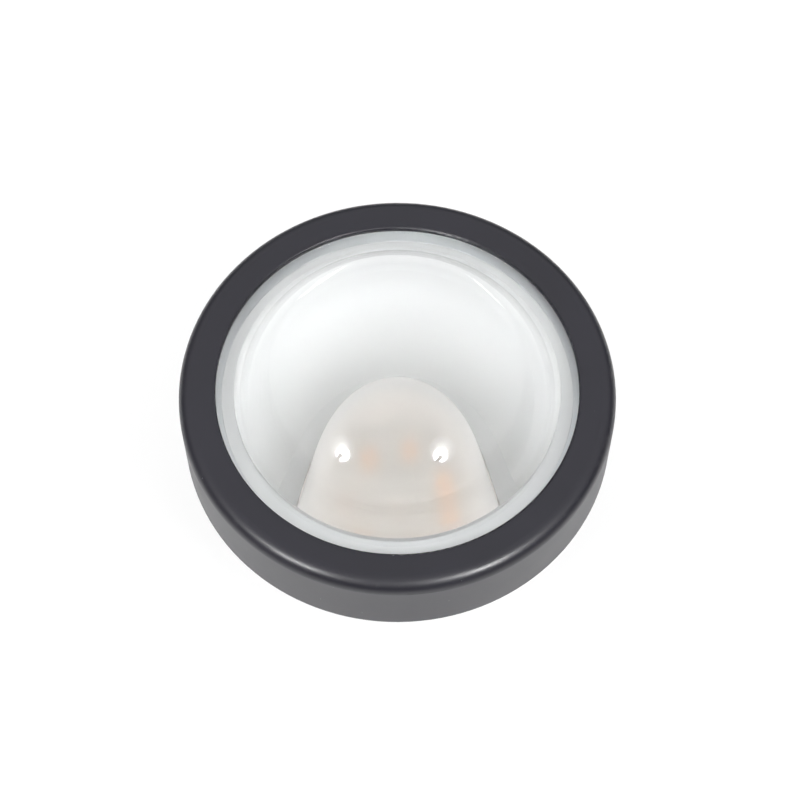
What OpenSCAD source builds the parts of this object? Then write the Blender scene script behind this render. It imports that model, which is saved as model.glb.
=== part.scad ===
// Round pendant light head with a domed glass lens, lying on its back with the glass up.
// Millimetres, +Z towards the glass, origin in the middle of the back face.

/* [Bezel ring] */
// Outer diameter of the black bezel ring
ring_d = 110; // [102:1:120]
// Height of the ring's side wall
ring_h = 21.6; // [20:0.2:25]
// Width of the ring's flat front face, from the outside to the glass
face_w = 9.4; // [8.6:0.2:11]
// Thickness of the ring's rear wall
ring_wall = 3.2; // [2.4:0.2:4]
// Radius of the round on the ring's outer front edge
ring_round = 3.7; // [1:0.1:4.5]
// Thickness of the lip over the glass
lip_t = 1.4; // [1.2:0.1:2.4]
// Radius of the round on the lip's inner edge
lip_round = 0.6; // [0.2:0.1:0.8]

/* [Front lens] */
// Height of the glass dome above its edge
dome_rise = 23.7; // [14:0.1:27]
// Distance from the lip to the foot of the dome
foot_in = 4.6; // [2:0.1:6]
// Radius of the hollow round at the foot of the dome
foot_round = 2; // [0.5:0.1:3]
// Thickness of the glass edge
edge_t = 4; // [3.4:0.2:6]
// How far the lip covers the glass edge
lip_cover = 1.6; // [1.2:0.1:2]
// Thickness of the black seal between the lip and the glass
seal_t = 0.3; // [0.2:0.1:0.8]
// Thickness of the pale gasket behind the glass
gasket_t = 1; // [0.6:0.1:1.6]
// Thickness of the ring that clamps the glass
retainer_t = 2; // [1.4:0.1:2.4]
// Number of screws in the clamping ring
retainer_n = 6; // [3:1:12]

/* [Reflector and light source] */
// Distance from the lip to the outside of the reflector bowl's wall
rim_in = 3.7; // [3.2:0.1:5]
// Width of the bowl's flat rim, outside its wall, under the glass
rim_w = 2.4; // [1.4:0.1:3]
// Wall of the reflector bowl
bowl_t = 1.2; // [0.8:0.1:2]
// Depth of the light source's board below the ring's front
led_depth = 29; // [27:0.5:31]
// Outer radius of the frosted dome
dome_r = 13.2; // [11:0.1:14]
// Height of the straight skirt under the frosted dome's half ball
dome_skirt = 2.4; // [2:0.1:4]
// Wall of the frosted dome
dome_t = 1.2; // [0.8:0.1:2]
// Radius of the circle of light chips
chip_ring_r = 7.6; // [5:0.1:8]
// Number of light chips on the circle
chip_n = 8; // [4:1:10]
// Side of a light chip
chip_w = 2.8; // [2:0.1:3]
// Height of a light chip
chip_h = 0.7; // [0.5:0.1:1.2]
// Thickness of the light source's board
led_board_t = 1.6; // [1:0.2:2]
// Thickness of the heat pad under the board
pad_t = 0.5; // [0.3:0.1:1]

/* [Rear housing] */
// Height from the back face to the ring's front
body_h = 60; // [57:1:72]
// Outer diameter of the rear housing
housing_d = 70; // [68:1:76]
// Wall of the rear housing
housing_wall = 3; // [2:0.2:4]
// Thickness of the floor that carries the light source
floor_t = 5; // [4:0.5:7]
// Thickness of the flange that closes the ring
flange_t = 2.5; // [2.4:0.1:4]
// Number of cooling fins
fin_n = 20; // [12:4:28]
// Thickness of a cooling fin
fin_t = 1.6; // [1:0.1:2.4]
// Height of a cooling fin at the housing
fin_h = 7; // [4:0.5:9]
// Thickness of the rear cover
cover_t = 3; // [2.6:0.2:4]
// Radius of the round on the rear cover's edge
cover_round = 1.6; // [0.5:0.1:2]

/* [Cord entry] */
// Depth of the well that the cord gland stands in
well_depth = 9.5; // [9:0.5:12]
// Radius of the well
well_r = 10.5; // [10:0.5:12]
// Radius of the gland's thread
gland_r = 5; // [4.5:0.5:5.5]
// Radius of the cord that the gland takes
cord_r = 3; // [2.5:0.1:3.2]

/* [Hidden] */
$fn = 96;

// Clearances and small allowances
eps = 0.01;
gap = 0.2;
thread_gap = 0.05;

// Radii of the ring and the glass
ring_r = ring_d / 2;
opening_r = ring_r - face_w;
lens_r = opening_r + lip_cover;
lens_bore_r = lens_r + gap;
rear_bore_r = ring_r - ring_wall;
foot_r = opening_r - foot_in;
ball_r = (foot_r * foot_r + dome_rise * dome_rise) / (2 * dome_rise);

// Levels, from the front of the ring down to the back
z_front = body_h;
z_ring_low = z_front - ring_h;
z_lip_low = z_front - lip_t;
z_lens_top = z_lip_low - seal_t;
z_lens_low = z_lens_top - edge_t;
z_shoulder = z_lens_low - gasket_t;
z_retainer_low = z_shoulder - retainer_t;
z_ball = z_lens_top + dome_rise - ball_r;
z_flange_top = z_ring_low + flange_t;
z_board_top = z_front - led_depth;
z_board_low = z_board_top - led_board_t;
z_floor_top = z_board_low - pad_t;
z_floor_low = z_floor_top - floor_t;

// Retaining screws, size M2
m2_r = 1;
m2_head_r = 1.9;
m2_head_h = 1.3;
retainer_screw_in = 3.6;
retainer_screw_c = (lens_bore_r + rear_bore_r) / 2;

// Reflector bowl: a ball-shaped dish from the rim down to a flat round the dome
rim_r = opening_r - rim_in;
rim_inner_r = rim_r - bowl_t;
rim_out_r = rim_r + rim_w;
rim_gap = 0.2;
gasket_r = lens_r;
gasket_bore_r = rim_out_r + thread_gap;
retainer_bore_r = rim_r + gap;
z_rim = z_lens_low - rim_gap;
z_rim_low = z_shoulder + thread_gap;
dome_flange_t = 1.2;
dome_flange_r = dome_r + 1.6;
neck_r = dome_r + gap;
flat_r = neck_r + 2.5;
z_flat = z_board_top + dome_flange_t + bowl_t;
z_dome = z_board_top + dome_skirt;
z_bowl = (rim_inner_r * rim_inner_r - flat_r * flat_r + z_rim * z_rim - z_flat * z_flat)
    / (2 * (z_rim - z_flat));
bowl_r = norm([rim_inner_r, z_rim - z_bowl]);
foot_in_r = dome_flange_r + 2.6;
foot_out_r = foot_in_r + 4.4;
led_board_r = foot_out_r + 0.4;

// Screws that hold the bowl, the board and the pad to the floor, size M2.5
m25_r = 1.25;
m25_head_r = 2.25;
m25_head_h = 1.5;
reflector_screw_n = 3;
reflector_screw_c = (foot_in_r + foot_out_r) / 2;
reflector_screw_start = 90;
reflector_screw_in = 1.5;

// Rear housing and its screws, size M4
housing_r = housing_d / 2;
housing_in_r = housing_r - housing_wall;
flange_r = rear_bore_r - gap;
m4_r = 2;
m4_head_r = 3.6;
m4_head_h = 2.6;
lug_n = 4;
lug_r = 4.2;
lug_h = 7;
lug_c = rear_bore_r - lug_r + 0.8;
lug_screw_in = 5.5;
seal_r = 0.75;
housing_seal_c = flange_r - seal_r + thread_gap * 2;
fin_out_r = rear_bore_r - 2.6;
fin_tip_h = 1.5;

// Rear cover and its screws, size M3
m3_r = 1.5;
m3_head_r = 2.9;
cover_screw_n = 3;
boss_r = 3.2;
boss_c = housing_in_r - boss_r + 0.6;
boss_h = 10;
spigot_r = housing_in_r - gap;
spigot_in_r = boss_c - boss_r;
spigot_h = 2.4;
cover_seal_r = 0.6;
cover_seal_c = housing_r - housing_wall / 2;
z_cover_seal = cover_t - cover_seal_r;
cover_screw_start = 30;
cover_screw_in = 6;

// Driver in its insulating tray
tray_r = boss_c - boss_r - gap;
tray_wall = 1;
tray_floor = 1.2;
standoff_h = 3;
standoff_r = 2.4;
driver_board_r = tray_r - tray_wall - gap;
driver_board_t = 1.6;
driver_hole_r = gland_r + 4;
z_tray_top = z_floor_low;
z_driver_top = z_tray_top - tray_floor - standoff_h;
z_driver_low = z_driver_top - driver_board_t;
driver_screw_c = driver_board_r - 2.6;
driver_screw_n = 3;
driver_screw_start = 36;
z_tray_low = cover_t + spigot_h + gap;
parts_c = (driver_hole_r + driver_board_r) / 2;

// Tall parts of the driver fill a share of the room between its board and the rear cover's spigot
driver_room = z_driver_low - z_tray_low;
core_h = driver_room * 0.76;
can_h = driver_room * 0.76;
can_r = 3.9;
can_pitch = 8.4;
terminal_d = 7.2;
terminal_h = driver_room * 0.64;
terminal_pitch = 6.4;
terminal_w = 2 * terminal_pitch + gap;
terminal_screw_r = 1.6;
terminal_screw_h = terminal_h * 0.32;
terminal_seat = terminal_h / 2;

// Leads from the driver to the light source
lead_r = 0.6;
lead_hole_r = 1;
lead_c = dome_flange_r + 1.3;
lead_angles = [4, 20];
lead_top = 0.4;

// Cord gland
gland_flange_t = 3;
gland_flange_r = 8;
gland_nut_t = 2.5;
gland_thread_over = 0.6;
well_floor = 2;
well_wall = 1.6;
cap_h = well_depth - gland_flange_t - 0.8;
cap_r = 7;
cap_wall = 1.4;
bush_r = cap_r - cap_wall - gap;
bush_h = cap_h - cap_wall - gap;
cord_hole_r = cord_r + 0.1;
gland_bore_r = cord_r + 0.4;

// A ring-shaped solid between two radii and two levels
module tube(outer_r, inner_r, low, high) {
    translate([0, 0, low])
        difference() {
            cylinder(r = outer_r, h = high - low);
            translate([0, 0, -eps]) cylinder(r = inner_r, h = high - low + 2 * eps);
        }
}

// Copies of a child round the axis
module around(count, radius, start = 0) {
    for (i = [0 : count - 1])
        rotate([0, 0, start + i * 360 / count])
            translate([radius, 0, 0])
                children();
}

// A pan-head screw with its head below the origin and its shank going up
module pan_screw(shank_r, length, head_r, head_h) {
    socket_r = head_r * 0.45;
    difference() {
        union() {
            cylinder(r = shank_r - thread_gap, h = length);
            rotate_extrude()
                intersection() {
                    translate([0, -head_h]) square([head_r, head_h]);
                    union() {
                        translate([0, -head_h]) square([head_r - head_h / 2, head_h]);
                        translate([head_r - head_h, 0]) circle(r = head_h);
                    }
                }
        }
        translate([0, 0, -head_h - eps]) cylinder(r = socket_r, h = head_h * 0.6, $fn = 6);
    }
}

// A countersunk screw with its flat head face at the origin and its shank going up
module flat_screw(shank_r, length, head_r) {
    cone_h = head_r - shank_r;
    difference() {
        union() {
            cylinder(r1 = head_r - thread_gap, r2 = shank_r - thread_gap, h = cone_h);
            cylinder(r = shank_r - thread_gap, h = length);
        }
        translate([0, 0, -eps]) cylinder(r = head_r * 0.42, h = cone_h, $fn = 6);
    }
}

// Turned ring with the lip over the glass, the seats inside it and four lugs for the housing
module bezel_ring() {
    color([0.09, 0.09, 0.1])
        difference() {
            union() {
                rotate_extrude()
                    difference() {
                        union() {
                            translate([opening_r, z_ring_low])
                                square([ring_r - opening_r - ring_round, ring_h]);
                            translate([ring_r - ring_round - eps, z_ring_low])
                                square([ring_round + eps, ring_h - ring_round]);
                            translate([ring_r - ring_round, z_front - ring_round])
                                circle(r = ring_round);
                        }
                        translate([opening_r - eps, z_shoulder])
                            square([lens_bore_r - opening_r + eps, z_lip_low - z_shoulder]);
                        translate([opening_r - eps, z_ring_low - eps])
                            square([rear_bore_r - opening_r + eps, z_shoulder - z_ring_low + eps]);
                        difference() {
                            translate([opening_r - eps, z_front - lip_round])
                                square([lip_round + eps, lip_round + eps]);
                            translate([opening_r + lip_round, z_front - lip_round])
                                circle(r = lip_round);
                        }
                    }
                intersection() {
                    around(lug_n, lug_c, 45)
                        translate([0, 0, z_flange_top]) cylinder(r = lug_r, h = lug_h);
                    cylinder(r = rear_bore_r + ring_wall / 2, h = z_front);
                }
            }
            around(retainer_n, retainer_screw_c)
                translate([0, 0, z_shoulder - eps]) cylinder(r = m2_r, h = retainer_screw_in + 0.5);
            around(lug_n, lug_c - 0.8, 45)
                translate([0, 0, z_flange_top - eps]) cylinder(r = m4_r, h = lug_screw_in + 0.5);
        }
}

// Thin black seal between the lip and the glass edge
module front_seal() {
    color([0.06, 0.06, 0.07])
        tube(lens_r, opening_r + 0.2, z_lens_top, z_lip_low);
}

// Solid plano-convex glass with a flat edge and a hollow round at the foot of the dome
module front_lens() {
    arris = 0.4;
    round_r = norm([ball_r + foot_round, 0]);
    round_x = sqrt(round_r * round_r - pow(z_lens_top + foot_round - z_ball, 2));
    touch_x = round_x * ball_r / (ball_r + foot_round);
    touch_z = z_ball + (z_lens_top + foot_round - z_ball) * ball_r / (ball_r + foot_round);
    color([0.8, 0.88, 0.86, 0.4])
        rotate_extrude()
            union() {
                intersection() {
                    translate([0, z_ball]) circle(r = ball_r, $fn = 360);
                    translate([0, z_lens_top - eps]) square([foot_r + foot_round, dome_rise + 1]);
                }
                difference() {
                    polygon([
                        [0, z_lens_top - eps], [round_x, z_lens_top - eps], [round_x, z_lens_top],
                        [touch_x, touch_z], [0, touch_z]
                    ]);
                    translate([round_x, z_lens_top + foot_round]) circle(r = foot_round);
                }
                polygon([
                    [0, z_lens_low], [lens_r - arris, z_lens_low], [lens_r, z_lens_low + arris],
                    [lens_r, z_lens_top - arris], [lens_r - arris, z_lens_top], [0, z_lens_top]
                ]);
            }
}

// Pale gasket behind the glass edge, round the bowl's flat rim
module lens_gasket() {
    color([0.85, 0.88, 0.85])
        tube(gasket_r, gasket_bore_r, z_shoulder, z_lens_low);
}

// Ring that clamps the gasket and the glass into the bezel
module lens_retainer() {
    color([0.12, 0.12, 0.13])
        difference() {
            tube(rear_bore_r - gap, retainer_bore_r, z_retainer_low, z_shoulder);
            around(retainer_n, retainer_screw_c)
                translate([0, 0, z_retainer_low - eps])
                    cylinder(r = m2_r + gap, h = retainer_t + 2 * eps);
        }
}

module retainer_screws() {
    color([0.7, 0.7, 0.72])
        around(retainer_n, retainer_screw_c)
            translate([0, 0, z_retainer_low])
                pan_screw(m2_r, retainer_t + retainer_screw_in, m2_head_r, m2_head_h);
}

// White dish round the light source, with a flat rim under the glass and a foot ring on the board
module reflector_bowl() {
    color([0.93, 0.93, 0.93])
        difference() {
            rotate_extrude()
                union() {
                    difference() {
                        intersection() {
                            translate([0, z_bowl]) circle(r = bowl_r + bowl_t, $fn = 180);
                            translate([neck_r, z_flat - bowl_t])
                                square([rim_r - neck_r, z_rim - z_flat + bowl_t]);
                        }
                        translate([0, z_bowl]) circle(r = bowl_r, $fn = 180);
                    }
                    translate([rim_inner_r + eps, z_rim_low])
                        square([rim_out_r - rim_inner_r - eps, z_rim - z_rim_low]);
                    translate([neck_r, z_flat - bowl_t]) square([flat_r - neck_r + 1, bowl_t]);
                    translate([foot_in_r, z_board_top])
                        square([foot_out_r - foot_in_r, z_flat - z_board_top - eps]);
                }
            around(reflector_screw_n, reflector_screw_c, reflector_screw_start)
                translate([0, 0, z_board_top - eps])
                    cylinder(r = m25_r, h = reflector_screw_in + 0.3);
        }
}

// Frosted half ball on a straight skirt, with a flange under the bowl's flat
module diffuser_dome() {
    color([0.9, 0.87, 0.83, 0.8])
        rotate_extrude()
            difference() {
                union() {
                    dome_half(dome_r, 0);
                    translate([0, z_board_top]) square([dome_flange_r, dome_flange_t]);
                }
                dome_half(dome_r - dome_t, eps);
            }
}

// Half section of the dome at a radius, with its foot lowered by an allowance
module dome_half(radius, lower) {
    translate([0, z_board_top - lower]) square([radius, dome_skirt + lower]);
    intersection() {
        translate([0, z_dome]) circle(r = radius, $fn = 180);
        translate([0, z_dome - eps]) square([radius, radius + 1]);
    }
}

module led_chip() {
    notch = chip_w * 0.18;
    translate([0, 0, z_board_top])
        difference() {
            translate([-chip_w / 2, -chip_w / 2, 0]) cube([chip_w, chip_w, chip_h]);
            translate([chip_w / 2, chip_w / 2, chip_h / 2])
                rotate([0, 0, 45]) translate([-notch, -notch, 0]) cube([2 * notch, 2 * notch, chip_h]);
            translate([0, 0, chip_h - 0.1]) cylinder(r = chip_w * 0.4, h = 1);
        }
}

// One chip in the middle and the rest on a circle
module led_chips() {
    color([0.95, 0.72, 0.35]) {
        led_chip();
        around(chip_n, chip_ring_r, -13) led_chip();
    }
}

module led_board() {
    color([0.92, 0.92, 0.9])
        difference() {
            translate([0, 0, z_board_low]) cylinder(r = led_board_r, h = led_board_t);
            light_source_holes(z_board_low, led_board_t);
        }
}

module thermal_pad() {
    color([0.45, 0.5, 0.6])
        difference() {
            translate([0, 0, z_floor_top]) cylinder(r = led_board_r, h = pad_t);
            light_source_holes(z_floor_top, pad_t);
        }
}

// Holes for the bowl's screws and for the leads, through whatever lies under the light source
module light_source_holes(low, thickness) {
    translate([0, 0, low - eps]) {
        around(reflector_screw_n, reflector_screw_c, reflector_screw_start)
            cylinder(r = m25_r + gap, h = thickness + 2 * eps);
        for (angle = lead_angles)
            rotate([0, 0, angle]) translate([lead_c, 0, 0])
                cylinder(r = lead_hole_r, h = thickness + 2 * eps);
    }
}

module reflector_screws() {
    color([0.7, 0.7, 0.72])
        around(reflector_screw_n, reflector_screw_c, reflector_screw_start)
            translate([0, 0, z_floor_low])
                pan_screw(m25_r, z_board_top - z_floor_low + reflector_screw_in, m25_head_r, m25_head_h);
}

// Cast housing: the flange that closes the ring, the cup, its floor, fins and cover bosses
module rear_housing() {
    color([0.1, 0.1, 0.11])
        difference() {
            union() {
                difference() {
                    union() {
                        translate([0, 0, z_ring_low]) cylinder(r = flange_r, h = flange_t);
                        translate([0, 0, cover_t]) cylinder(r = housing_r, h = z_ring_low - cover_t + 1);
                        cooling_fins();
                    }
                    translate([0, 0, z_floor_top])
                        cylinder(r = housing_in_r, h = z_front - z_floor_top);
                    translate([0, 0, cover_t - eps])
                        cylinder(r = housing_in_r, h = z_floor_low - cover_t + eps);
                }
                cover_bosses();
            }
            translate([0, 0, z_bowl]) bowl_relief();
            rotate_extrude()
                translate([flange_r + eps, z_ring_low + flange_t / 2])
                    square([4 * seal_r, 2 * seal_r + thread_gap], center = true);
            around(lug_n, lug_c - 0.8, 45)
                translate([0, 0, z_ring_low - eps]) cylinder(r = m4_r + gap, h = flange_t + 2 * eps);
            light_source_holes(z_floor_low, floor_t);
        }
}

// The room that the bowl needs in the mouth of the housing
module bowl_relief() {
    intersection() {
        sphere(r = bowl_r + bowl_t + gap);
        translate([0, 0, z_floor_top + 2 - z_bowl]) cylinder(r = rim_r, h = z_front);
    }
}

// Fins between the flange and the cup, highest at the cup
module cooling_fins() {
    for (i = [0 : fin_n - 1])
        rotate([90, 0, i * 360 / fin_n])
            translate([0, 0, -fin_t / 2])
                linear_extrude(fin_t)
                    polygon([
                        [housing_r - 1, z_ring_low + 0.5], [fin_out_r, z_ring_low + 0.5],
                        [fin_out_r, z_ring_low - fin_tip_h], [housing_r - 1, z_ring_low - fin_h]
                    ]);
}

// Bosses that take the rear cover's screws
module cover_bosses() {
    z_boss = cover_t + spigot_h + gap;
    difference() {
        intersection() {
            around(cover_screw_n, boss_c, cover_screw_start)
                translate([0, 0, z_boss]) cylinder(r = boss_r, h = boss_h);
            cylinder(r = housing_in_r + housing_wall / 2, h = z_front);
        }
        around(cover_screw_n, boss_c, cover_screw_start)
            translate([0, 0, z_boss - eps]) cylinder(r = m3_r, h = cover_screw_in + 0.5);
    }
}

// Round seal in the rim of the housing's flange
module housing_seal() {
    color([0.05, 0.05, 0.06])
        rotate_extrude()
            translate([housing_seal_c, z_ring_low + flange_t / 2]) circle(r = seal_r, $fn = 32);
}

module housing_screws() {
    color([0.12, 0.12, 0.13])
        around(lug_n, lug_c - 0.8, 45)
            translate([0, 0, z_ring_low])
                pan_screw(m4_r, flange_t + lug_screw_in, m4_head_r, m4_head_h);
}

// A lead with its soldered ends
module led_lead(angle) {
    low = z_driver_top;
    high = z_board_top + lead_top;
    rotate([0, 0, angle])
        translate([lead_c, 0, 0])
            translate([0, 0, low]) cylinder(r = lead_r, h = high - low);
}

module led_lead_red() {
    color([0.7, 0.1, 0.08]) led_lead(lead_angles[0]);
}

module led_lead_black() {
    color([0.08, 0.08, 0.08]) led_lead(lead_angles[1]);
}

// Insulating tray with three standoffs for the driver's board
module driver_tray() {
    color([0.85, 0.85, 0.82])
        difference() {
            union() {
                translate([0, 0, z_tray_top - tray_floor]) cylinder(r = tray_r, h = tray_floor);
                tube(tray_r, tray_r - tray_wall, z_tray_low, z_tray_top);
                around(driver_screw_n, driver_screw_c, driver_screw_start)
                    translate([0, 0, z_driver_top])
                        cylinder(r = standoff_r, h = standoff_h + tray_floor / 2);
            }
            around(driver_screw_n, driver_screw_c, driver_screw_start)
                translate([0, 0, z_driver_top - eps]) cylinder(r = m2_r, h = standoff_h);
            around(reflector_screw_n, reflector_screw_c, reflector_screw_start)
                translate([0, 0, z_tray_top - tray_floor - eps])
                    cylinder(r = m25_head_r + gap, h = tray_floor + 2 * eps);
            for (angle = lead_angles)
                rotate([0, 0, angle]) translate([lead_c, 0, z_tray_top - tray_floor - eps])
                    cylinder(r = lead_hole_r, h = tray_floor + 2 * eps);
        }
}

// Ring-shaped circuit board with room for the cord's cores in the middle
module driver_board() {
    color([0.1, 0.35, 0.18])
        difference() {
            tube(driver_board_r, driver_hole_r, z_driver_low, z_driver_top);
            around(driver_screw_n, driver_screw_c, driver_screw_start)
                translate([0, 0, z_driver_low - eps])
                    cylinder(r = m2_r + gap, h = driver_board_t + 2 * eps);
        }
}

module driver_screws() {
    color([0.7, 0.7, 0.72])
        around(driver_screw_n, driver_screw_c, driver_screw_start)
            translate([0, 0, z_driver_low])
                pan_screw(m2_r, driver_board_t + standoff_h - 0.6, m2_head_r, m2_head_h);
}

// Places a piece that hangs under the driver's board, in one of six sectors
module under_driver(sector) {
    rotate([0, 0, sector * 60])
        translate([parts_c, 0, z_driver_low])
            mirror([0, 0, 1])
                children();
}

module transformer() {
    core_w = 12;
    core_d = 4.5;
    leg_w = 2.2;
    yoke_h = 1.6;
    coil_r = 4.6;
    foot_w = 8;
    foot_h = 1;
    color([0.2, 0.18, 0.15])
        under_driver(2) {
            translate([-core_d / 2, -core_w / 2, foot_h])
                difference() {
                    cube([core_d, core_w, core_h]);
                    translate([-eps, leg_w, yoke_h])
                        cube([core_d + 2 * eps, core_w - 2 * leg_w, core_h - 2 * yoke_h]);
                }
            translate([0, 0, foot_h + yoke_h + eps])
                cylinder(r = coil_r, h = core_h - 2 * yoke_h - 2 * eps);
            translate([-foot_w / 2, -core_w / 2, 0]) cube([foot_w, core_w, foot_h + eps]);
        }
}

module choke() {
    coil_c = 3.6;
    wire_r = 1.9;
    color([0.6, 0.33, 0.12])
        under_driver(5)
            translate([0, 0, wire_r])
                rotate_extrude() translate([coil_c, 0]) circle(r = wire_r, $fn = 32);
}

module capacitors() {
    groove_r = 0.3;
    groove_z = 1.4;
    color([0.12, 0.14, 0.3])
        for (side = [-1, 1])
            under_driver(0)
                translate([0, side * can_pitch / 2, 0])
                    difference() {
                        cylinder(r = can_r, h = can_h);
                        translate([0, 0, groove_z])
                            rotate_extrude() translate([can_r, 0]) circle(r = groove_r, $fn = 24);
                    }
}

module rectifier() {
    size = [5, 6, 2.4];
    color([0.08, 0.08, 0.09])
        under_driver(1) translate([-size.x / 2, -size.y / 2, 0]) cube(size);
}

module driver_chip() {
    size = [4, 5, 1.5];
    color([0.08, 0.08, 0.09])
        under_driver(3) translate([-size.x / 2, -size.y / 2, 0]) cube(size);
}

// Two-way screw terminal for the cord's cores
module terminal_block() {
    core_hole_r = terminal_h * 0.16;
    core_hole_z = terminal_h * 0.27;
    color([0.15, 0.45, 0.25])
        under_driver(4)
            difference() {
                translate([-terminal_d / 2, -terminal_w / 2, 0]) cube([terminal_d, terminal_w, terminal_h]);
                for (side = [-1, 1])
                    translate([0, side * terminal_pitch / 2, 0]) {
                        translate([0, 0, terminal_seat])
                            cylinder(r = terminal_screw_r + 0.1, h = terminal_h);
                        translate([0, 0, core_hole_z])
                            rotate([0, 90, 180]) cylinder(r = core_hole_r, h = terminal_d);
                    }
            }
}

module terminal_screws() {
    slot_w = 0.6;
    slot_depth = 0.8;
    color([0.75, 0.75, 0.76])
        under_driver(4)
            for (side = [-1, 1])
                translate([0, side * terminal_pitch / 2, terminal_seat])
                    difference() {
                        cylinder(r = terminal_screw_r, h = terminal_screw_h);
                        translate([-slot_w / 2, -terminal_pitch / 2, terminal_screw_h - slot_depth])
                            cube([slot_w, terminal_pitch, slot_depth + eps]);
                    }
}

// Turned rear cover with the gland's well in the middle and a spigot into the housing
module rear_cover() {
    color([0.1, 0.1, 0.11])
        difference() {
            union() {
                rotate_extrude()
                    union() {
                        square([housing_r - cover_round, cover_t]);
                        translate([0, cover_round]) square([housing_r, cover_t - cover_round]);
                        intersection() {
                            translate([housing_r - cover_round, cover_round]) circle(r = cover_round);
                            square([housing_r, cover_t]);
                        }
                    }
                tube(spigot_r, spigot_in_r, cover_t / 2, cover_t + spigot_h);
                cylinder(r = well_r + well_wall, h = well_depth + well_floor);
            }
            translate([0, 0, -eps]) cylinder(r = well_r, h = well_depth + eps);
            cylinder(r = gland_r, h = z_front);
            tube(cover_seal_c + cover_seal_r + thread_gap, cover_seal_c - cover_seal_r - thread_gap,
                cover_t - 2 * cover_seal_r, cover_t + eps);
            around(cover_screw_n, boss_c, cover_screw_start)
                translate([0, 0, -eps]) {
                    cylinder(r = m3_r + gap, h = cover_t + spigot_h + 2 * eps);
                    cylinder(r1 = m3_head_r + eps, r2 = m3_r + eps, h = m3_head_r - m3_r);
                }
        }
}

module cover_seal() {
    color([0.05, 0.05, 0.06])
        rotate_extrude()
            translate([cover_seal_c, z_cover_seal]) circle(r = cover_seal_r, $fn = 32);
}

module cover_screws() {
    color([0.12, 0.12, 0.13])
        around(cover_screw_n, boss_c, cover_screw_start)
            flat_screw(m3_r, cover_t + spigot_h + cover_screw_in, m3_head_r);
}

// Gland body: a hexagon in the well and a threaded tube through its floor
module gland_body() {
    color([0.08, 0.08, 0.09])
        difference() {
            union() {
                translate([0, 0, well_depth - gland_flange_t])
                    cylinder(r = gland_flange_r, h = gland_flange_t, $fn = 6);
                cylinder_between(gland_r - thread_gap, well_depth - eps,
                    well_depth + well_floor + gland_nut_t + gland_thread_over);
            }
            translate([0, 0, -eps]) cylinder(r = gland_bore_r, h = z_front);
        }
}

module cylinder_between(radius, low, high) {
    translate([0, 0, low]) cylinder(r = radius, h = high - low);
}

// Rubber bush that grips the cord
module gland_bush() {
    color([0.05, 0.05, 0.05])
        tube(bush_r, cord_hole_r, well_depth - gland_flange_t - bush_h, well_depth - gland_flange_t);
}

// Cap that squeezes the bush
module gland_cap() {
    cap_top = well_depth - gland_flange_t;
    cap_low = cap_top - cap_h;
    color([0.08, 0.08, 0.09])
        difference() {
            rotate_extrude()
                union() {
                    translate([0, cap_low]) square([cap_r - 1.2, cap_h]);
                    translate([0, cap_low + 1.2]) square([cap_r, cap_h - 1.2]);
                    translate([cap_r - 1.2, cap_low + 1.2]) circle(r = 1.2);
                }
            translate([0, 0, cap_low + cap_wall]) cylinder(r = bush_r + gap, h = cap_h);
            translate([0, 0, cap_low - eps]) cylinder(r = gland_bore_r, h = cap_h);
        }
}

module gland_locknut() {
    color([0.08, 0.08, 0.09])
        translate([0, 0, well_depth + well_floor])
            difference() {
                cylinder(r = gland_flange_r, h = gland_nut_t, $fn = 6);
                translate([0, 0, -eps]) cylinder(r = gland_r, h = gland_nut_t + 2 * eps);
            }
}

bezel_ring();
front_seal();
front_lens();
lens_gasket();
lens_retainer();
retainer_screws();
reflector_bowl();
diffuser_dome();
led_chips();
led_board();
thermal_pad();
reflector_screws();
rear_housing();
housing_seal();
housing_screws();
led_lead_red();
led_lead_black();
driver_tray();
driver_board();
driver_screws();
transformer();
choke();
capacitors();
rectifier();
driver_chip();
terminal_block();
terminal_screws();
rear_cover();
cover_seal();
cover_screws();
gland_body();
gland_bush();
gland_cap();
gland_locknut();
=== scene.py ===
"""Looks of a round pendant light head: satin black bezel ring, domed glass lens, white bowl, frosted dome.

Everything is in metres in the part's own frame: +Z towards the glass, origin in the middle of the back face.
"""

import math

import bpy
import numpy as np
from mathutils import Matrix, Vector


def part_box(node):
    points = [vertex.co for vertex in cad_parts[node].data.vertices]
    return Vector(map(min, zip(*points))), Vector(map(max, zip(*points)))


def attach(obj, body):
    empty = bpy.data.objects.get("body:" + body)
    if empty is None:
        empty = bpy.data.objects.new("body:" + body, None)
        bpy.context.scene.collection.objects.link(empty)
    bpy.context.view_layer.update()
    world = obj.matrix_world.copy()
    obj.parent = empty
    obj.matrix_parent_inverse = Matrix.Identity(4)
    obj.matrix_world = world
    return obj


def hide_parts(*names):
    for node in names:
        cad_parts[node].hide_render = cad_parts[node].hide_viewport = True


MM = 0.001
IMAGE_SIZE = 800

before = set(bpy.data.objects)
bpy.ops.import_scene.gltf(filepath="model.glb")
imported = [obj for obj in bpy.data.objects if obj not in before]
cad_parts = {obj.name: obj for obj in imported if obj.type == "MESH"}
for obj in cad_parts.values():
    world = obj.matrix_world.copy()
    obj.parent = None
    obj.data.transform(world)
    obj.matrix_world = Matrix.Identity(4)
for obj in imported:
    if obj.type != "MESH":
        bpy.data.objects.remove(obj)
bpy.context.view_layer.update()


def levels(name):
    """Lowest and highest Z of a CAD node, and its largest radius."""
    low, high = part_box(name)
    return low.z, high.z, high.x


_, RING_TOP, RING_R = levels("bezel_ring")
LENS_LOW, LENS_TOP, LENS_R = levels("front_lens")
HOUSING_LOW, _, HOUSING_R = levels("rear_housing")
COVER_LOW, _, COVER_R = levels("rear_cover")
_, DOME_TOP, _ = levels("diffuser_dome")
DOME_R = 13.2 * MM
BOWL_RIM_W = 3.6 * MM
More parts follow.
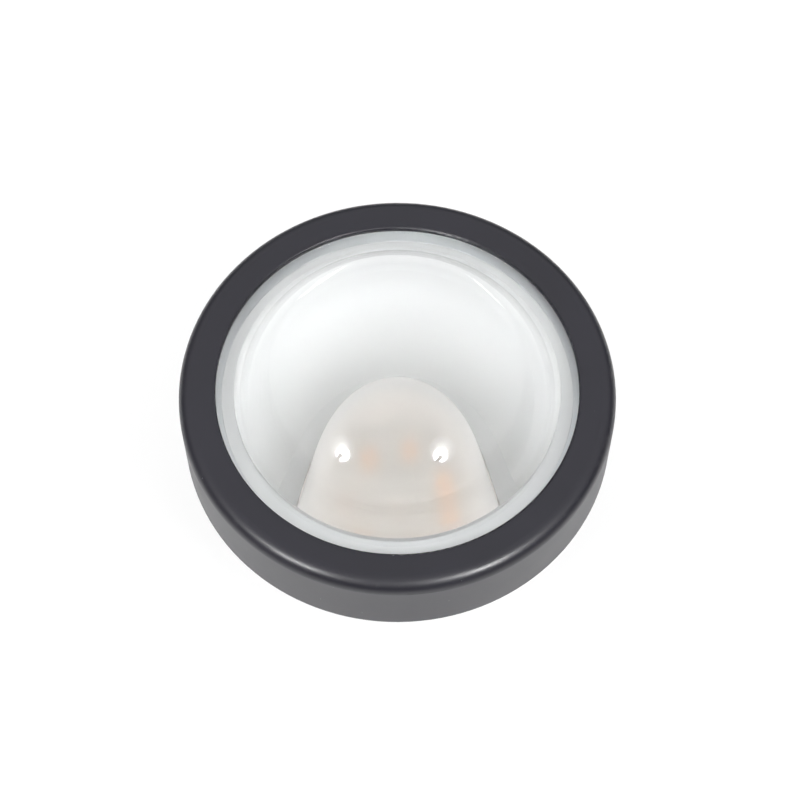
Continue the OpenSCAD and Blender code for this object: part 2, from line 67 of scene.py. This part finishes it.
# Radius at which the bowl's wall meets its flat rim
BOWL_WALL_R = levels("reflector_bowl")[2] - BOWL_RIM_W


# Camera

# Values from the ellipses of the ring and the glass in the 800 px picture
FOCAL_PX = 2197.0
CAMERA_ELEVATION = math.radians(63.0)
CAMERA_ROLL = math.radians(-0.31)
CAMERA_DISTANCE = 10 * RING_R
RING_CENTRE_PX = (397.3, 384.7)
SENSOR = 36.0


def make_camera():
    """Camera that looks at the middle of the ring's front, shifted to where that lies in the picture."""
    data = bpy.data.cameras.new("camera")
    data.sensor_width = SENSOR
    data.lens = FOCAL_PX / IMAGE_SIZE * SENSOR
    data.shift_x = (IMAGE_SIZE / 2 - RING_CENTRE_PX[0]) / IMAGE_SIZE
    data.shift_y = (RING_CENTRE_PX[1] - IMAGE_SIZE / 2) / IMAGE_SIZE
    data.clip_start = 0.01
    camera = bpy.data.objects.new("camera", data)
    bpy.context.scene.collection.objects.link(camera)
    tilt = math.pi / 2 - CAMERA_ELEVATION
    camera.location = (
        0,
        -CAMERA_DISTANCE * math.cos(CAMERA_ELEVATION),
        RING_TOP + CAMERA_DISTANCE * math.sin(CAMERA_ELEVATION),
    )
    camera.rotation_euler = (tilt, 0, 0)
    camera.rotation_euler.rotate_axis("Z", CAMERA_ROLL)
    bpy.context.scene.camera = camera


make_camera()


# Shader tools

def join(tree, value, socket):
    """Links a socket, or sets a number or colour."""
    if isinstance(value, bpy.types.NodeSocket):
        tree.links.new(value, socket)
    elif isinstance(value, tuple) and len(value) == 3 and socket.type == "RGBA":
        socket.default_value = (*value, 1)
    else:
        socket.default_value = value


def node(tree, kind, **sockets):
    """Adds a shader node; each named input, written with underscores for spaces, is linked or set."""
    made = tree.nodes.new("ShaderNode" + kind)
    for name, value in sockets.items():
        join(tree, value, made.inputs[name.replace("_", " ")])
    return made


def maths(tree, operation, *values):
    """Number from a mathematical operation on one or two values."""
    made = tree.nodes.new("ShaderNodeMath")
    made.operation = operation
    for socket, value in zip(made.inputs, values):
        join(tree, value, socket)
    return made.outputs[0]


def hypotenuse(tree, x, y):
    """Length of the vector (x, y)."""
    squares = maths(tree, "ADD", maths(tree, "MULTIPLY", x, x), maths(tree, "MULTIPLY", y, y))
    return maths(tree, "SQRT", squares)


def vectors(tree, operation, first, second=None, scale=None):
    """Vector from a vector operation, or the number from a distance."""
    made = tree.nodes.new("ShaderNodeVectorMath")
    made.operation = operation
    join(tree, first, made.inputs[0])
    if second is not None:
        join(tree, second, made.inputs[1])
    if scale is not None:
        join(tree, scale, made.inputs["Scale"])
    return made.outputs["Value" if operation == "DISTANCE" else "Vector"]


def ranged(tree, value, low, high, to_low, to_high):
    """Carries low..high over to to_low..to_high, and holds the ends."""
    made = node(tree, "MapRange", Value=value, From_Min=low, From_Max=high, To_Min=to_low, To_Max=to_high)
    return made.outputs["Result"]


# Places of the share and of the colour sockets on a Mix node
MIX_SHARE = 0
MIX_FIRST = 6
MIX_SECOND = 7
MIX_RESULT = 2


def tone_mix(tree, share, first, second):
    """Colour that goes from first to second as the share goes from 0 to 1."""
    made = tree.nodes.new("ShaderNodeMix")
    made.data_type = "RGBA"
    join(tree, share, made.inputs[MIX_SHARE])
    join(tree, first, made.inputs[MIX_FIRST])
    join(tree, second, made.inputs[MIX_SECOND])
    return made.outputs[MIX_RESULT]


def drifting(tree, surface, first, second):
    """Colour that drifts between two tones with the slow clouds of the grain."""
    return tone_mix(tree, ranged(tree, surface["Clouds"], 0.35, 0.65, 0.0, 1.0), first, second)


def own_place(tree):
    """Place of a point, in metres from the part's origin."""
    return tree.nodes.new("ShaderNodeTexCoord").outputs["Object"]


def effect(name, inputs, outputs):
    """Empty node group with number sockets: a dict of inputs with their usual values, and outputs' names."""
    tree = bpy.data.node_groups.new(name, "ShaderNodeTree")
    for label, value in inputs.items():
        tree.interface.new_socket(label, in_out="INPUT", socket_type="NodeSocketFloat").default_value = value
    for label in outputs:
        tree.interface.new_socket(label, in_out="OUTPUT", socket_type="NodeSocketFloat")
    given = tree.nodes.new("NodeGroupInput").outputs
    result = tree.nodes.new("NodeGroupOutput").inputs
    return tree, given, result, own_place(tree)


def placed(tree, group, **sockets):
    """Puts a node group into a material and returns its outputs."""
    made = tree.nodes.new("ShaderNodeGroup")
    made.node_tree = group
    for name, value in sockets.items():
        join(tree, value, made.inputs[name])
    return made.outputs


def axis_radius(tree, place):
    """Distance from the Z axis, and the height."""
    parts = node(tree, "SeparateXYZ", Vector=place).outputs
    return hypotenuse(tree, parts[0], parts[1]), parts[2]


def make_grain():
    """Fine even grain of a given size, and slow clouds some centimetres wide."""
    tree, given, result, place = effect("fine_grain", {"Size": 0.4 * MM}, ("Fine", "Clouds"))
    scale = maths(tree, "DIVIDE", 1.0, given["Size"])
    fine = node(tree, "TexNoise", Vector=place, Scale=scale, Detail=3.0, Roughness=0.6)
    clouds = node(tree, "TexNoise", Vector=place, Scale=38.0, Detail=3.0, Roughness=0.5)
    tree.links.new(fine.outputs[0], result["Fine"])
    tree.links.new(clouds.outputs[0], result["Clouds"])
    return tree


def make_dust():
    """Sparse specks: points of a 3-D cell pattern that lie closer to the surface than a speck's size."""
    tree, given, result, place = effect("dust_specks", {"Spacing": 5 * MM, "Speck": 0.12 * MM}, ("Mask",))
    cells = node(tree, "TexVoronoi", Vector=place, Scale=maths(tree, "DIVIDE", 1.0, given["Spacing"]))
    reach = maths(tree, "DIVIDE", given["Speck"], given["Spacing"])
    near = maths(tree, "DIVIDE", cells.outputs["Distance"], reach)
    tree.links.new(ranged(tree, near, 0.7, 1.0, 1.0, 0.0), result["Mask"])
    return tree


def make_rubbed_edge():
    """Rubbing along a round edge: nearness to the circle of a given radius and height, broken by noise."""
    names = {"Radius": 55 * MM, "Height": 0.0, "Width": 1.0 * MM}
    tree, given, result, place = effect("rubbed_edge", names, ("Mask",))
    radius, height = axis_radius(tree, place)
    out = maths(tree, "SUBTRACT", radius, given["Radius"])
    up = maths(tree, "SUBTRACT", height, given["Height"])
    near = maths(tree, "SUBTRACT", 1.0, maths(tree, "DIVIDE", hypotenuse(tree, out, up), given["Width"]))
    noise = node(tree, "TexNoise", Vector=place, Scale=260.0, Detail=4.0, Roughness=0.7)
    broken = ranged(tree, noise.outputs[0], 0.52, 0.74, 0.0, 1.0)
    worn = maths(tree, "MULTIPLY", maths(tree, "MAXIMUM", near, 0.0), broken)
    tree.links.new(worn, result["Mask"])
    return tree


fine_grain = make_grain()
dust_specks = make_dust()
rubbed_edge = make_rubbed_edge()


def new_material(name):
    """Material with a Principled BSDF and an output."""
    material = bpy.data.materials.new(name)
    material.use_nodes = True
    tree = material.node_tree
    return material, tree, tree.nodes["Principled BSDF"]


def raise_grain(tree, shader, height, depth):
    """Bump of a given depth in metres from a height between 0 and 1."""
    bump = node(tree, "Bump", Height=height, Distance=depth, Strength=1.0)
    tree.links.new(bump.outputs["Normal"], shader.inputs["Normal"])


def finish(name, tones, roughness, grain, depth, metallic=0.0):
    """Plain finish: the colour drifts between two tones and the roughness in a range, over a grain of a given
    size and depth."""
    material, tree, shader = new_material(name)
    surface = placed(tree, fine_grain, Size=grain)
    join(tree, drifting(tree, surface, *tones), shader.inputs["Base Color"])
    join(tree, ranged(tree, surface["Fine"], 0.3, 0.7, *roughness), shader.inputs["Roughness"])
    shader.inputs["Metallic"].default_value = metallic
    raise_grain(tree, shader, surface["Fine"], depth)
    return material, tree, shader


# Finishes of the outside

def satin_black(name, edge_radius, edge_height):
    """Smooth satin black paint with a faint texture, dust and light rubbing along its outer edge."""
    material, tree, shader = new_material(name)
    surface = placed(tree, fine_grain, Size=0.5 * MM)
    dust = placed(tree, dust_specks, Spacing=5.5 * MM, Speck=0.13 * MM)["Mask"]
    rub = placed(tree, rubbed_edge, Radius=edge_radius, Height=edge_height, Width=0.9 * MM)["Mask"]
    paint = drifting(tree, surface, (0.0093, 0.0088, 0.0144), (0.0113, 0.0107, 0.0174))
    paint = tone_mix(tree, maths(tree, "MULTIPLY", rub, 0.25), paint, (0.11, 0.105, 0.11))
    paint = tone_mix(tree, maths(tree, "MULTIPLY", dust, 0.8), paint, (0.42, 0.42, 0.42))
    join(tree, paint, shader.inputs["Base Color"])
    satin = ranged(tree, surface["Clouds"], 0.3, 0.7, 0.33, 0.37)
    dull = maths(tree, "ADD", satin, maths(tree, "MULTIPLY", dust, 0.4))
    join(tree, maths(tree, "SUBTRACT", dull, maths(tree, "MULTIPLY", rub, 0.06)), shader.inputs["Roughness"])
    raise_grain(tree, shader, surface["Fine"], 0.006 * MM)
    return material


def clear_glass():
    """Clear polished glass with a faint green tint and a few dust specks."""
    material, tree, shader = new_material("lens_glass")
    dust = placed(tree, dust_specks, Spacing=9 * MM, Speck=0.16 * MM)["Mask"]
    join(tree, tone_mix(tree, dust, (0.985, 0.994, 0.991), (0.85, 0.86, 0.86)), shader.inputs["Base Color"])
    join(tree, ranged(tree, dust, 0.0, 1.0, 0.02, 0.5), shader.inputs["Roughness"])
    shader.inputs["IOR"].default_value = 1.5
    shader.inputs["Transmission Weight"].default_value = 1.0
    return material


def frosted_plastic():
    """Frosted plastic that shows what lies behind it as soft patches. A faint painted glow stands for the
    light
    that goes round inside it: more where the view is slanting, and more near the white board at its foot. A
    stronger painted glow on its skirt, just under the ball, lightens the dark line of the gap round it. Where
    the view is slanting its colour is painted paler and less warm, as a painted sheen. The glow doesn't light
    the pieces round it, and rays from them pass with some loss, so that it throws a shadow."""
    material, tree, shader = new_material("frosted_plastic")
    surface = placed(tree, fine_grain, Size=0.25 * MM)
    height = axis_radius(tree, own_place(tree))[1]
    slant = node(tree, "LayerWeight", Blend=0.5).outputs["Facing"]
    painted_slant_light = ranged(tree, slant, 0.1, 0.7, 0.0, 1.0)
    low = ranged(tree, height, DOME_TOP - 3 * MM, DOME_TOP - 9 * MM, 0.0, 1.0)
    gathered = node(tree, "LightPath").outputs["Is Diffuse Ray"]
    # Painted sheen: where the view slants the colour turns paler and less warm
    seen = tone_mix(tree, painted_slant_light, (0.95, 0.92, 0.895), (0.945, 0.94, 0.935))
    join(tree, tone_mix(tree, gathered, seen, (0.85, 0.84, 0.83)), shader.inputs["Base Color"])
    join(tree, ranged(tree, surface["Clouds"], 0.3, 0.7, 0.28, 0.32), shader.inputs["Roughness"])
    shader.inputs["IOR"].default_value = 1.2
    shader.inputs["Transmission Weight"].default_value = 0.82
    # Painted light: the glow is warm where the view meets the dome and paler where it slants
    join(tree, tone_mix(tree, painted_slant_light, (1.0, 0.90, 0.82), (1.0, 0.985, 0.975)), shader.inputs["Emission Color"])
    # Painted glow, more where the view slants and near the board, stands for light going round inside the
    # dome
    glow = maths(tree, "MAXIMUM", maths(tree, "MULTIPLY", painted_slant_light, 0.08), maths(tree, "MULTIPLY", low, 0.14))
    # Painted light: a stronger glow on the skirt just under the ball lightens the dark line of the gap at the
    # foot
    foot = ranged(tree, height, DOME_TOP - DOME_R, DOME_TOP - DOME_R - 0.6 * MM, 0.0, 0.4)
    glow = maths(tree, "MAXIMUM", glow, foot)
    glow = maths(tree, "MULTIPLY", glow, maths(tree, "SUBTRACT", 1.0, gathered))
    join(tree, glow, shader.inputs["Emission Strength"])
    raise_grain(tree, shader, surface["Fine"], 0.01 * MM)
    return material


# Rounding of the corner between the bowl's flat rim and its wall
RIM_ROUND = 0.5 * MM
RIM_LEAN = math.radians(60)


def glossy_white():
    """White moulding of the bowl under a thin gloss. Towards the dome its colour is painted greyer, as
    painted shade that stands for the dome's shadows on it. Its flat rim is painted whitest, as painted light
    for what the glass gathers onto it. The corner between the rim and the wall is shaded as a round: the
    gloss's normal leans inwards, from not at all where the round starts on the rim to most at the wall."""
    tones = ((0.798, 0.800, 0.804), (0.818, 0.820, 0.824))
    material, tree, shader = finish("reflector_white", tones, (0.62, 0.74), 0.35 * MM, 0.01 * MM)
    place = own_place(tree)
    radius = axis_radius(tree, place)[0]
    out = maths(tree, "DIVIDE", maths(tree, "SUBTRACT", radius, BOWL_WALL_R), RIM_ROUND)
    rim = ranged(tree, out, -0.1, 0.0, 0.0, 1.0)
    share = ranged(tree, out, 0.0, 1.0, 1.0, 0.0)
    dish = shader.inputs["Base Color"].links[0].from_socket
    # Painted shade: from 25 mm in to 17 mm from the axis the dish darkens to grey, standing for the dome's
    # shadows
    dish = tone_mix(tree, ranged(tree, radius, 17 * MM, 25 * MM, 0.0, 1.0), (0.64, 0.64, 0.635), dish)
    # Painted light: the flat rim is painted whiter than the dish, standing for the light the glass gathers
    # onto it
    join(tree, tone_mix(tree, rim, dish, (0.95, 0.955, 0.96)), shader.inputs["Base Color"])
    lean = maths(tree, "MULTIPLY", maths(tree, "MULTIPLY", rim, share), RIM_LEAN)
    inwards = vectors(tree, "MULTIPLY", place, (-1 / BOWL_WALL_R, -1 / BOWL_WALL_R, 0))
    sideways = vectors(tree, "SCALE", inwards, scale=maths(tree, "TANGENT", lean))
    leaned = vectors(tree, "ADD", node(tree, "NewGeometry").outputs["Normal"], sideways)
    join(tree, vectors(tree, "NORMALIZE", leaned), shader.inputs["Coat Normal"])
    join(tree, ranged(tree, rim, 0.0, 1.0, 0.15, 1.0), shader.inputs["Coat Weight"])
    join(tree, ranged(tree, rim, 0.0, 1.0, 0.3, 0.05), shader.inputs["Coat Roughness"])
    return material


CHIP_RING_R = 7.6 * MM
CHIP_PITCH = math.radians(45)
CHIP_START = math.radians(-13)


def make_chip_fill():
    """Mask of the round phosphor fill on each light chip, from the distance to the nearest chip's middle: the
    angle round the axis is folded into one pitch of the ring of chips."""
    tree, given, result, place = effect("chip_fill", {"Fill": 1.3 * MM}, ("Mask",))
    parts = node(tree, "SeparateXYZ", Vector=place).outputs
    radius = axis_radius(tree, place)[0]
    turn = maths(tree, "SUBTRACT", maths(tree, "ARCTAN2", parts[1], parts[0]), CHIP_START)
    turn = maths(tree, "PINGPONG", turn, CHIP_PITCH / 2)
    along = maths(tree, "SUBTRACT", maths(tree, "MULTIPLY", radius, maths(tree, "COSINE", turn)), CHIP_RING_R)
    across = maths(tree, "MULTIPLY", radius, maths(tree, "SINE", turn))
    apart = hypotenuse(tree, along, across)
    nearest = maths(tree, "DIVIDE", maths(tree, "MINIMUM", apart, radius), given["Fill"])
    tree.links.new(ranged(tree, nearest, 0.92, 1.0, 1.0, 0.0), result["Mask"])
    return tree


def light_chips():
    """White chip bodies with a round fill of orange phosphor."""
    material, tree, shader = new_material("led_phosphor")
    fill = placed(tree, make_chip_fill())["Mask"]
    surface = placed(tree, fine_grain, Size=0.12 * MM)
    phosphor = tone_mix(tree, surface["Fine"], (0.98, 0.50, 0.20), (1.0, 0.56, 0.26))
    join(tree, tone_mix(tree, fill, (0.85, 0.84, 0.80), phosphor), shader.inputs["Base Color"])
    join(tree, ranged(tree, fill, 0.0, 1.0, 0.5, 0.28), shader.inputs["Roughness"])
    raise_grain(tree, shader, fill, -0.06 * MM)
    return material


def circuit_board(name, tones, trace, pads):
    """Solder mask over copper traces: wavy bands of a trace tone, with small round pads."""
    material, tree, shader = new_material(name)
    place = own_place(tree)
    bands = node(tree, "TexWave", Vector=place, Scale=95.0, Distortion=7.0, Detail=1.0, Detail_Scale=0.6)
    lines = ranged(tree, bands.outputs[1], 0.80, 0.86, 0.0, 1.0)
    surface = placed(tree, fine_grain, Size=0.3 * MM)
    mask = tone_mix(tree, lines, drifting(tree, surface, *tones), trace)
    dots = placed(tree, dust_specks, Spacing=3.2 * MM, Speck=0.7 * MM)["Mask"]
    join(tree, tone_mix(tree, dots, mask, pads), shader.inputs["Base Color"])
    join(tree, ranged(tree, dots, 0.0, 1.0, 0.42, 0.25), shader.inputs["Roughness"])
    join(tree, maths(tree, "MULTIPLY", dots, 0.9), shader.inputs["Metallic"])
    raise_grain(tree, shader, lines, 0.03 * MM)
    return material


def wound_wire(name, tones, scale):
    """Enamelled wire: close parallel bands that stand up from the gaps between them."""
    material, tree, shader = new_material(name)
    turns = node(tree, "TexWave", Vector=own_place(tree), Scale=scale, Distortion=1.2, Detail=1.0)
    join(tree, tone_mix(tree, turns.outputs[1], *tones), shader.inputs["Base Color"])
    shader.inputs["Metallic"].default_value = 0.85
    shader.inputs["Roughness"].default_value = 0.32
    raise_grain(tree, shader, turns.outputs[1], 0.15 * MM)
    return material


def dress(material, *nodes):
    """Gives CAD nodes a material."""
    for name in nodes:
        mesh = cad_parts[name].data
        mesh.materials.clear()
        mesh.materials.append(material)


# The surface of the ring's rounded edge lies so far in from the corner that the edge would have
EDGE_IN = 1.2 * MM
dress(satin_black("black_paint", RING_R - EDGE_IN, RING_TOP - EDGE_IN), "bezel_ring")
dress(satin_black("black_paint_housing", HOUSING_R, HOUSING_LOW), "rear_housing", "lens_retainer")
dress(satin_black("black_paint_cover", COVER_R, COVER_LOW), "rear_cover")
dress(glossy_white(), "reflector_bowl")
dress(frosted_plastic(), "diffuser_dome")
dress(light_chips(), "led_chips")

WHITE_MASK = ((0.76, 0.76, 0.74), (0.80, 0.80, 0.78))
GREEN_MASK = ((0.022, 0.13, 0.055), (0.03, 0.17, 0.07))
dress(circuit_board("board_white", WHITE_MASK, (0.72, 0.72, 0.69), (0.78, 0.78, 0.77)), "led_board")
dress(circuit_board("board_green", GREEN_MASK, (0.05, 0.24, 0.11), (0.72, 0.70, 0.66)), "driver_board")
dress(wound_wire("copper_wire", ((0.30, 0.12, 0.04), (0.72, 0.34, 0.14)), 330.0), "choke")

# Two tones, range of roughness, size and depth of the grain in mm, metallic, nodes
PLAIN_FINISHES = {
    "black_rubber": (((0.018, 0.018, 0.019), (0.026, 0.026, 0.027)), (0.62, 0.78), 0.4, 0.015, 0.0,
                     ("front_seal", "housing_seal", "cover_seal", "gland_bush")),
    "pale_silicone": (((0.82, 0.84, 0.86), (0.86, 0.88, 0.90)), (0.45, 0.6), 0.5, 0.01, 0.0,
                      ("lens_gasket",)),
    "zinc_plate": (((0.58, 0.585, 0.59), (0.66, 0.665, 0.66)), (0.25, 0.42), 0.25, 0.008, 1.0,
                   ("retainer_screws", "reflector_screws", "driver_screws", "terminal_screws")),
    "thermal_grey": (((0.30, 0.35, 0.43), (0.36, 0.41, 0.49)), (0.7, 0.85), 0.3, 0.03, 0.0,
                     ("thermal_pad",)),
    "wire_red": (((0.48, 0.03, 0.025), (0.56, 0.045, 0.035)), (0.35, 0.45), 0.5, 0.01, 0.0,
                 ("led_lead_red",)),
    "wire_black": (((0.022, 0.022, 0.023), (0.032, 0.032, 0.033)), (0.35, 0.45), 0.5, 0.01, 0.0,
                   ("led_lead_black",)),
    "tray_plastic": (((0.68, 0.68, 0.65), (0.74, 0.74, 0.71)), (0.45, 0.6), 0.45, 0.02, 0.0,
                     ("driver_tray",)),
    "core_dark": (((0.075, 0.068, 0.06), (0.12, 0.11, 0.095)), (0.5, 0.7), 0.6, 0.04, 0.0,
                  ("transformer",)),
    "can_sleeve": (((0.022, 0.03, 0.12), (0.03, 0.042, 0.17)), (0.25, 0.38), 0.5, 0.01, 0.0,
                   ("capacitors",)),
    "chip_black": (((0.024, 0.024, 0.027), (0.036, 0.036, 0.04)), (0.5, 0.65), 0.2, 0.02, 0.0,
                   ("rectifier", "driver_chip")),
    "terminal_green": (((0.04, 0.24, 0.10), (0.055, 0.30, 0.13)), (0.35, 0.5), 0.5, 0.015, 0.0,
                       ("terminal_block",)),
    "black_nylon": (((0.022, 0.022, 0.024), (0.034, 0.034, 0.036)), (0.32, 0.46), 0.45, 0.02, 0.0,
                    ("gland_body", "gland_cap", "gland_locknut")),
    "screw_black": (((0.035, 0.035, 0.038), (0.06, 0.06, 0.064)), (0.3, 0.48), 0.2, 0.01, 0.9,
                    ("housing_screws", "cover_screws")),
}

for name, (tones, roughness, grain, depth, metallic, nodes) in PLAIN_FINISHES.items():
    dress(finish(name, tones, roughness, grain * MM, depth * MM, metallic)[0], *nodes)


# Glass lens

def turned(name, profile, around=256):
    """Surface of revolution: each profile point (r, z) goes round the Z axis. The first and the last point
    lie on the axis and become poles, each with a fan of triangles."""
    radius, height = profile[1:-1].T
    angle = np.arange(around) * 2 * math.pi / around
    rings = np.stack([
        np.outer(radius, np.cos(angle)),
        np.outer(radius, np.sin(angle)),
        np.outer(height, np.ones(around)),
    ], axis=-1)
    count = len(rings)
    poles = [(0, 0, profile[0, 1]), (0, 0, profile[-1, 1])]
    verts = np.vstack([rings.reshape(-1, 3), poles])
    row, col = np.meshgrid(np.arange(count - 1), np.arange(around), indexing="ij")
    nxt = (col + 1) % around
    low, high = row * around, (row + 1) * around
    quads = np.stack([low + col, low + nxt, high + nxt, high + col], -1)
    first = np.arange(around)
    after = (first + 1) % around
    last = (count - 1) * around
    pole = count * around
    fans = [np.stack([np.full(around, pole), after, first], -1),
            np.stack([first + last, after + last, np.full(around, pole + 1)], -1)]
    mesh = bpy.data.meshes.new(name)
    mesh.from_pydata(verts.tolist(), [], quads.reshape(-1, 4).tolist() + np.vstack(fans).tolist())
    mesh.shade_smooth()
    mesh.update()
    piece = bpy.data.objects.new(name, mesh)
    bpy.context.scene.collection.objects.link(piece)
    return piece


FOOT_R = 41.0 * MM
FOOT_ROUND = 0.3 * MM
EDGE_T = 4.0 * MM
ARRIS = 0.4 * MM
EDGE_TOP = LENS_LOW + EDGE_T
DOME_RISE = LENS_TOP - EDGE_TOP
# A hair of air over the gasket, so that the two surfaces don't share a plane
BACK_Z = LENS_LOW + 0.03 * MM


def level_line(radii, height):
    """Profile points (r, z) at the given radii, all on one height."""
    return np.column_stack([radii, np.full(len(radii), height)])


def arc(centre, radius, start, end, count):
    """Profile points of an arc: its centre plus its radius times the cosine and the sine of even steps of
    angle."""
    angle = np.linspace(start, end, count)
    return np.array(centre) + radius * np.column_stack([np.cos(angle), np.sin(angle)])


def lens_profile():
    """Glass from the middle of its flat back, round the edge, over the small hollow round at the foot and the
    ball-shaped top. Close pairs of rings at each corner keep the flats flat."""
    ball_r = (FOOT_R ** 2 + DOME_RISE ** 2) / (2 * DOME_RISE)
    ball_z = EDGE_TOP + DOME_RISE - ball_r
    round_z = EDGE_TOP + FOOT_ROUND
    round_x = math.sqrt((ball_r + FOOT_ROUND) ** 2 - (round_z - ball_z) ** 2)
    touch = math.atan2(round_z - ball_z, round_x)
    flat_end = LENS_R - ARRIS
    hold = 0.1 * MM
    return np.vstack([
        (0, BACK_Z),
        level_line(np.linspace(0.05, 1, 24) * (flat_end - hold), BACK_Z),
        [(flat_end, BACK_Z), (LENS_R, BACK_Z + ARRIS), (LENS_R, BACK_Z + ARRIS + hold)],
        [(LENS_R, EDGE_TOP - ARRIS - hold), (LENS_R, EDGE_TOP - ARRIS), (flat_end, EDGE_TOP)],
        level_line(np.linspace(flat_end - hold, round_x + hold, 6), EDGE_TOP),
        arc((round_x, round_z), FOOT_ROUND, -math.pi / 2, touch - math.pi, 20),
        arc((0, ball_z), ball_r, touch, math.pi / 2, 110)[1:-1],
        (0, ball_z + ball_r),
    ])


lens = turned("glass_lens", lens_profile())
lens.data.materials.append(clear_glass())
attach(lens, "root")
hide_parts("front_lens")


# Floor, world and lamps

def add_floor():
    """Pale table a hair under the back face that keeps the light head's soft shadow. The camera sees it run
    into the white backdrop; all other rays see it bright round the light head and dark further out, where a
    real table ends. From below it is clear, and it has a hole under the back face, so that the back can be
    looked at."""
    size = 3.0
    level = -0.05 * MM
    mesh = bpy.data.meshes.new("floor")
    corners = [(-size, -size, level), (size, -size, level), (size, size, level), (-size, size, level)]
    mesh.from_pydata(corners, [], [(0, 1, 2, 3)])
    floor = bpy.data.objects.new("floor", mesh)
    bpy.context.scene.collection.objects.link(floor)
    material, tree, shader = new_material("floor")
    shader.inputs["Roughness"].default_value = 0.9
    shader.inputs["Emission Color"].default_value = (1, 1, 1, 1)
    radius = axis_radius(tree, own_place(tree))[0]
    far = ranged(tree, radius, 0.15, 0.4, 0.0, 1.0)
    camera = node(tree, "LightPath").outputs["Is Camera Ray"]
    table = tone_mix(tree, far, (0.84, 0.84, 0.84), (0.12, 0.12, 0.12))
    join(tree, tone_mix(tree, camera, table, (0.2, 0.2, 0.2)), shader.inputs["Base Color"])
    join(tree, maths(tree, "MULTIPLY", camera, 0.78), shader.inputs["Emission Strength"])
    below = node(tree, "NewGeometry").outputs["Backfacing"]
    clear = maths(tree, "MAXIMUM", below, maths(tree, "LESS_THAN", radius, COVER_R - 3 * MM))
    join(tree, maths(tree, "SUBTRACT", 1.0, clear), shader.inputs["Alpha"])
    mesh.materials.append(material)


def set_world(level):
    """White backdrop to the camera. All other rays see a room, pale overhead and darker at the horizon."""
    world = bpy.data.worlds.new("studio")
    bpy.context.scene.world = world
    world.use_nodes = True
    tree = world.node_tree
    background = tree.nodes["Background"]
    background.inputs["Color"].default_value = (1, 1, 1, 1)
    direction = tree.nodes.new("ShaderNodeTexCoord").outputs["Generated"]
    height = node(tree, "SeparateXYZ", Vector=direction).outputs[2]
    room = ranged(tree, height, 0.12, 0.5, 0.12 * level, level)
    camera = node(tree, "LightPath").outputs["Is Camera Ray"]
    tree.links.new(maths(tree, "MAXIMUM", camera, room), background.inputs["Strength"])


def disk_lamp(name, direction, distance, degrees, radiance):
    """Round lamp that faces the lens from a distance and is so many degrees wide there."""
    data = bpy.data.lights.new(name, "AREA")
    data.shape = "DISK"
    data.size = 2 * distance * math.tan(math.radians(degrees / 2))
    data.energy = radiance * math.pi * math.pi * (data.size / 2) ** 2
    lamp = bpy.data.objects.new(name, data)
    bpy.context.scene.collection.objects.link(lamp)
    direction = np.array(direction) / np.linalg.norm(direction)
    lamp.location = direction * distance + np.array([0, 0, RING_TOP])
    x, y, z = direction
    lamp.rotation_euler = (math.acos(z), 0, math.atan2(y, x) + math.pi / 2)
    return lamp


UMBRELLA_DEGREES = 25.0
BROAD_DISTANCE = 1.6
MIRRORED_DISTANCE = 1.5
# The broad lamps stand further to the sides than the mirrored ones
ASIDE_X = 1.25
ASIDE_Y = 0.72


def umbrella(name, direction, broad, bright, lean, spots):
    """Photographer's umbrella as two lamps. The broad even one lights the surfaces. The other is what they
    mirror: a bright middle in a faint glow, which lies a little up and to one side. Spots, in shares of its
    width, are the small dark shapes of the lamp's own head and stand before it. Broad and bright are the
    radiances of the two."""
    x, y, z = direction
    aside = (ASIDE_X * x, ASIDE_Y * y, z)
    disk_lamp(name, aside, BROAD_DISTANCE, UMBRELLA_DEGREES, broad).visible_glossy = False
    mirrored = disk_lamp(name + "_mirrored", direction, MIRRORED_DISTANCE, UMBRELLA_DEGREES, bright)
    mirrored.visible_diffuse = False
    mirrored.data.use_nodes = True
    tree = mirrored.data.node_tree
    place = tree.nodes.new("ShaderNodeNewGeometry").outputs["Parametric"]

    def apart(across, up):
        """Distance from a place on the lamp, from its middle and in shares of its width."""
        return vectors(tree, "DISTANCE", place, (0.5 + across, 0.5 + up, 0))

    middle = ranged(tree, apart(0, 0), 0.14, 0.18, 1.0, 0.0)
    glow = maths(tree, "POWER", ranged(tree, apart(lean, 0.08), 0.1, 0.4, 1.0, 0.0), 2.0)
    light = maths(tree, "ADD", middle, maths(tree, "MULTIPLY", glow, 0.07))
    for across, up, radius in spots:
        spot = ranged(tree, apart(across, up), 0.8 * radius, 1.2 * radius, 0.0, 1.0)
        light = maths(tree, "MULTIPLY", light, spot)
    tree.links.new(light, tree.nodes["Emission"].inputs["Strength"])


# Spots of the two lamps' heads: across, up, radius
LEFT_HEAD = [
    (-0.032, -0.07, 0.07),
    (-0.047, -0.165, 0.055),
]
RIGHT_HEAD = [
    (-0.032, -0.042, 0.065),
    (-0.12, -0.085, 0.065),
    (-0.2, -0.11, 0.045),
    (-0.072, -0.18, 0.048),
    (0.02, -0.24, 0.02),
    (0.05, -0.285, 0.02),
    (0.078, -0.33, 0.02),
]

add_floor()
set_world(0.95)
# Reaches only the back face, through the floor's hole
disk_lamp("lamp_below", (-0.5, -0.6, -1.0), distance=1.2, degrees=50.0, radiance=8.0).visible_camera = False
umbrella("left_umbrella", (-0.545, -0.575, 0.60), broad=10.5, bright=150.0, lean=-0.08, spots=LEFT_HEAD)
umbrella("right_umbrella", (0.435, -0.625, 0.65), broad=12.5, bright=190.0, lean=0.08, spots=RIGHT_HEAD)

bpy.context.scene.view_settings.view_transform = "Standard"
